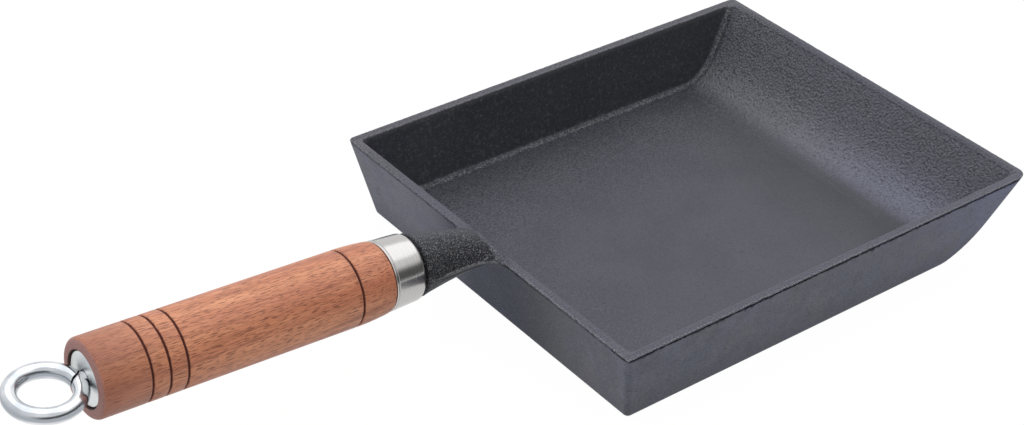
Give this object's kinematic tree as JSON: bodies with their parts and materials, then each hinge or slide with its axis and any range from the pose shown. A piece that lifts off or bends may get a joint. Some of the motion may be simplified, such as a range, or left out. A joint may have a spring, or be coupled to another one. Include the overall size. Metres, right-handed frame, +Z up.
{
  "type": "square frying pan",
  "caption": "Small square cast-iron frying pan with drafted walls, a flared far lip and a turned beech handle, held by a long eye bolt that the pan also hangs on.",
  "frame": {"origin": "on the surface that the pan stands on, below the middle of the rim", "axes": "+Z up, +X towards the flared lip, with the handle along -X"},
  "size_m": [0.3451, 0.1496, 0.0513],
  "materials": {
    "cast_iron": "blackened sand-cast skin, pebbled on the walls and the neck, smoother on the floor",
    "polished_steel": "drawn stainless sheet, polished",
    "beech": "turned, reddish stain and thin varnish, burned grooves",
    "zinc_plate": "bright zinc-plated steel"
  },
  "bodies": {
    "pan": {"pan_casting": "cast_iron"},
    "handle": {"ferrule": "polished_steel", "handle_grip": "beech", "end_washer": "zinc_plate"},
    "eye_bolt": {"eye_bolt": "zinc_plate"}
  },
  "joints": [
    {"name": "handle_draw_off", "type": "slide", "parent": "pan", "child": "handle", "axis": [-0.9981, 0, 0.061], "range_m": [0, 0.0144]},
    {"name": "eye_bolt_turn", "type": "hinge", "parent": "handle", "child": "eye_bolt", "pos_m": [-0.09, 0, 0.0303], "axis": [-0.9981, 0, 0.061], "range_deg": [0, 6480]}
  ],
  "couplings": [
    {"joint": "eye_bolt_turn", "follows": "handle_draw_off", "rad_per_m": 7854}
  ]
}
